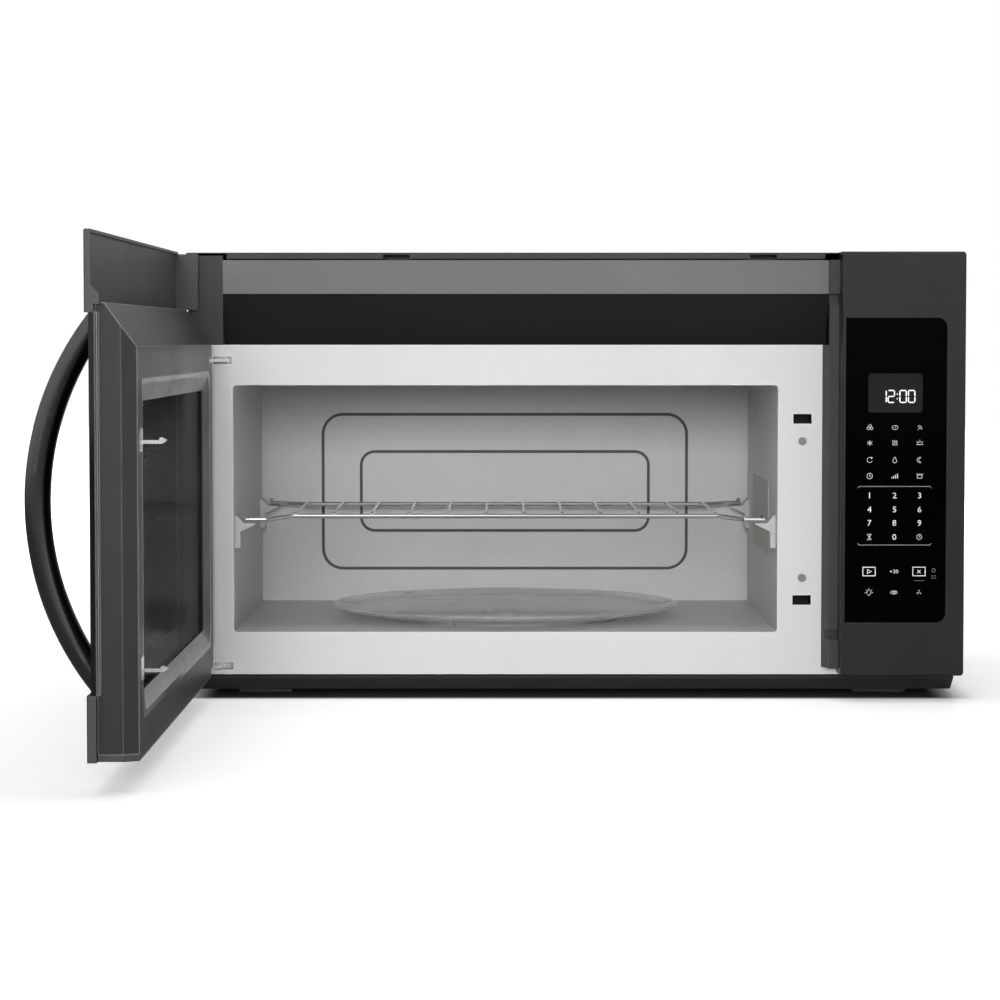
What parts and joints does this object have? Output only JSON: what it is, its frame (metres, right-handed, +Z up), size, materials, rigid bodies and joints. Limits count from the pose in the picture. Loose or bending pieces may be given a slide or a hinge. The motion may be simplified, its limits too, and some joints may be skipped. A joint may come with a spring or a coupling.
{
  "type": "over-the-range microwave oven",
  "caption": "Over-the-range microwave oven with an arched-handle door on side hinges, a lit cavity with wire rack and glass turntable, a touch panel and a hood underneath.",
  "frame": {"origin": "centre of the cabinet's flat underside, halfway between its sides and between the oven's front frame and its back", "axes": "+X to the right as one faces the oven, +Y back towards the wall, +Z up; the door stands open towards -Y"},
  "size_m": [0.8249, 1.0327, 0.44],
  "materials": {
    "case_paint": "satin dark grey paint",
    "dark_paint": "matt dark paint",
    "plated_steel": "dull zinc plate",
    "frame_paint": "smooth silver-grey enamel",
    "cavity_paint": "speckled grey enamel",
    "choke_paint": "satin grey enamel",
    "dark_steel": "black stainless, finely brushed",
    "black_glass": "polished, backed black",
    "clear_glass": "polished",
    "display_plastic": "gloss",
    "board": "lacquered board",
    "grey_plastic": "fine grain",
    "rail_plastic": "fine grain",
    "trim_plastic": "satin",
    "pale_plastic": "smooth moulded",
    "black_plastic": "smooth moulded",
    "mica": "matt, flaked",
    "screen_paint": "perforated, black enamel",
    "motor_steel": "rolled",
    "core_steel": "varnished laminations",
    "can_aluminium": "drawn",
    "filter_aluminium": "expanded mesh",
    "rack_chrome": "bright"
  },
  "bodies": {
    "cabinet": {"outer_case": "case_paint", "back_plate": "plated_steel", "base_pan": "case_paint", "front_frame": "frame_paint", "interlock_block": "pale_plastic", "deflector": "frame_paint", "air_ramp": "dark_paint", "top_rail": "rail_plastic", "left_post": "dark_paint", "control_bezel": "dark_steel", "control_glass": "black_glass", "display_module": "display_plastic", "control_board": "board", "panel_jamb": "grey_plastic", "cavity_liner": "cavity_paint", "roller_track": "cavity_paint", "waveguide_cover": "mica", "waveguide": "plated_steel", "magnetron": "motor_steel", "cavity_lamp": "plated_steel", "turntable_motor": "motor_steel", "transformer": "core_steel", "capacitor": "can_aluminium", "cord_gland": "black_plastic", "fan_housing": "plated_steel", "blower_housing": "plated_steel", "blower_motor": "motor_steel", "grease_filter_left": "filter_aluminium", "grease_filter_right": "filter_aluminium", "lamp_lens_left": "clear_glass", "lamp_lens_right": "clear_glass", "rack_clip_front_left": "pale_plastic", "rack_clip_back_left": "pale_plastic", "rack_clip_front_right": "pale_plastic", "rack_clip_back_right": "pale_plastic", "hinge_arm_lower": "plated_steel", "hinge_arm_upper": "plated_steel"},
    "door": {"door_ear_lower": "plated_steel", "door_ear_upper": "plated_steel", "door_top_band": "dark_steel", "door_bottom_band": "dark_steel", "door_glass": "black_glass", "door_choke": "choke_paint", "choke_trim": "trim_plastic", "inner_window": "clear_glass", "window_screen": "screen_paint", "door_handle": "dark_steel"},
    "latch": {"latch_bar": "plated_steel"},
    "coupler": {"turntable_coupler": "pale_plastic"},
    "tray": {"glass_tray": "clear_glass"},
    "ring": {"roller_ring": "pale_plastic"},
    "roller_1": {"roller_1": "pale_plastic"},
    "roller_2": {"roller_2": "pale_plastic"},
    "roller_3": {"roller_3": "pale_plastic"},
    "rack": {"wire_rack": "rack_chrome"},
    "blower_rotor": {"blower_shaft": "motor_steel", "blower_wheel_left": "black_plastic", "blower_wheel_right": "black_plastic"},
    "fan_rotor": {"cooling_fan": "black_plastic"}
  },
  "joints": [
    {"name": "door_hinge", "type": "hinge", "parent": "cabinet", "child": "door", "pos_m": [-0.3715, -0.2115, 0.2], "axis": [0, 0, 1], "range_deg": [-15, 90]},
    {"name": "latch_slide", "type": "slide", "parent": "door", "child": "latch", "axis": [0, 0, 1], "range_m": [0, 0.002], "stiffness_N_per_m": 300},
    {"name": "turntable_turn", "type": "hinge", "parent": "cabinet", "child": "coupler", "pos_m": [-0.06735, -0.006, 0.06], "axis": [0, 0, 1], "continuous": true},
    {"name": "tray_lift", "type": "slide", "parent": "coupler", "child": "tray", "axis": [0, 0, 1], "range_m": [0, 0.06]},
    {"name": "ring_turn", "type": "hinge", "parent": "cabinet", "child": "ring", "pos_m": [-0.06735, -0.006, 0.0604], "axis": [0, 0, 1], "continuous": true},
    {"name": "rack_lift", "type": "slide", "parent": "cabinet", "child": "rack", "axis": [0, 0, 1], "range_m": [0, 0.08]},
    {"name": "blower_spin", "type": "hinge", "parent": "cabinet", "child": "blower_rotor", "pos_m": [-0.06735, 0.1385, 0.3604], "axis": [1, 0, 0], "continuous": true},
    {"name": "fan_spin", "type": "hinge", "parent": "cabinet", "child": "fan_rotor", "pos_m": [0.29, 0.14, 0.13], "axis": [0, 1, 0], "continuous": true},
    {"name": "roller_1_spin", "type": "hinge", "parent": "ring", "child": "roller_1", "pos_m": [0.04705, -0.006, 0.0604], "axis": [1, 0, 0], "continuous": true},
    {"name": "roller_2_spin", "type": "hinge", "parent": "ring", "child": "roller_2", "pos_m": [-0.12455, 0.09307, 0.0604], "axis": [-0.5, 0.866, 0], "continuous": true},
    {"name": "roller_3_spin", "type": "hinge", "parent": "ring", "child": "roller_3", "pos_m": [-0.12455, -0.10507, 0.0604], "axis": [-0.5, -0.866, 0], "continuous": true}
  ],
  "couplings": [
    {"joint": "ring_turn", "follows": "turntable_turn", "ratio": 0.5},
    {"joint": "roller_1_spin", "follows": "turntable_turn", "ratio": -9.5333},
    {"joint": "roller_2_spin", "follows": "turntable_turn", "ratio": -9.5333},
    {"joint": "roller_3_spin", "follows": "turntable_turn", "ratio": -9.5333}
  ]
}
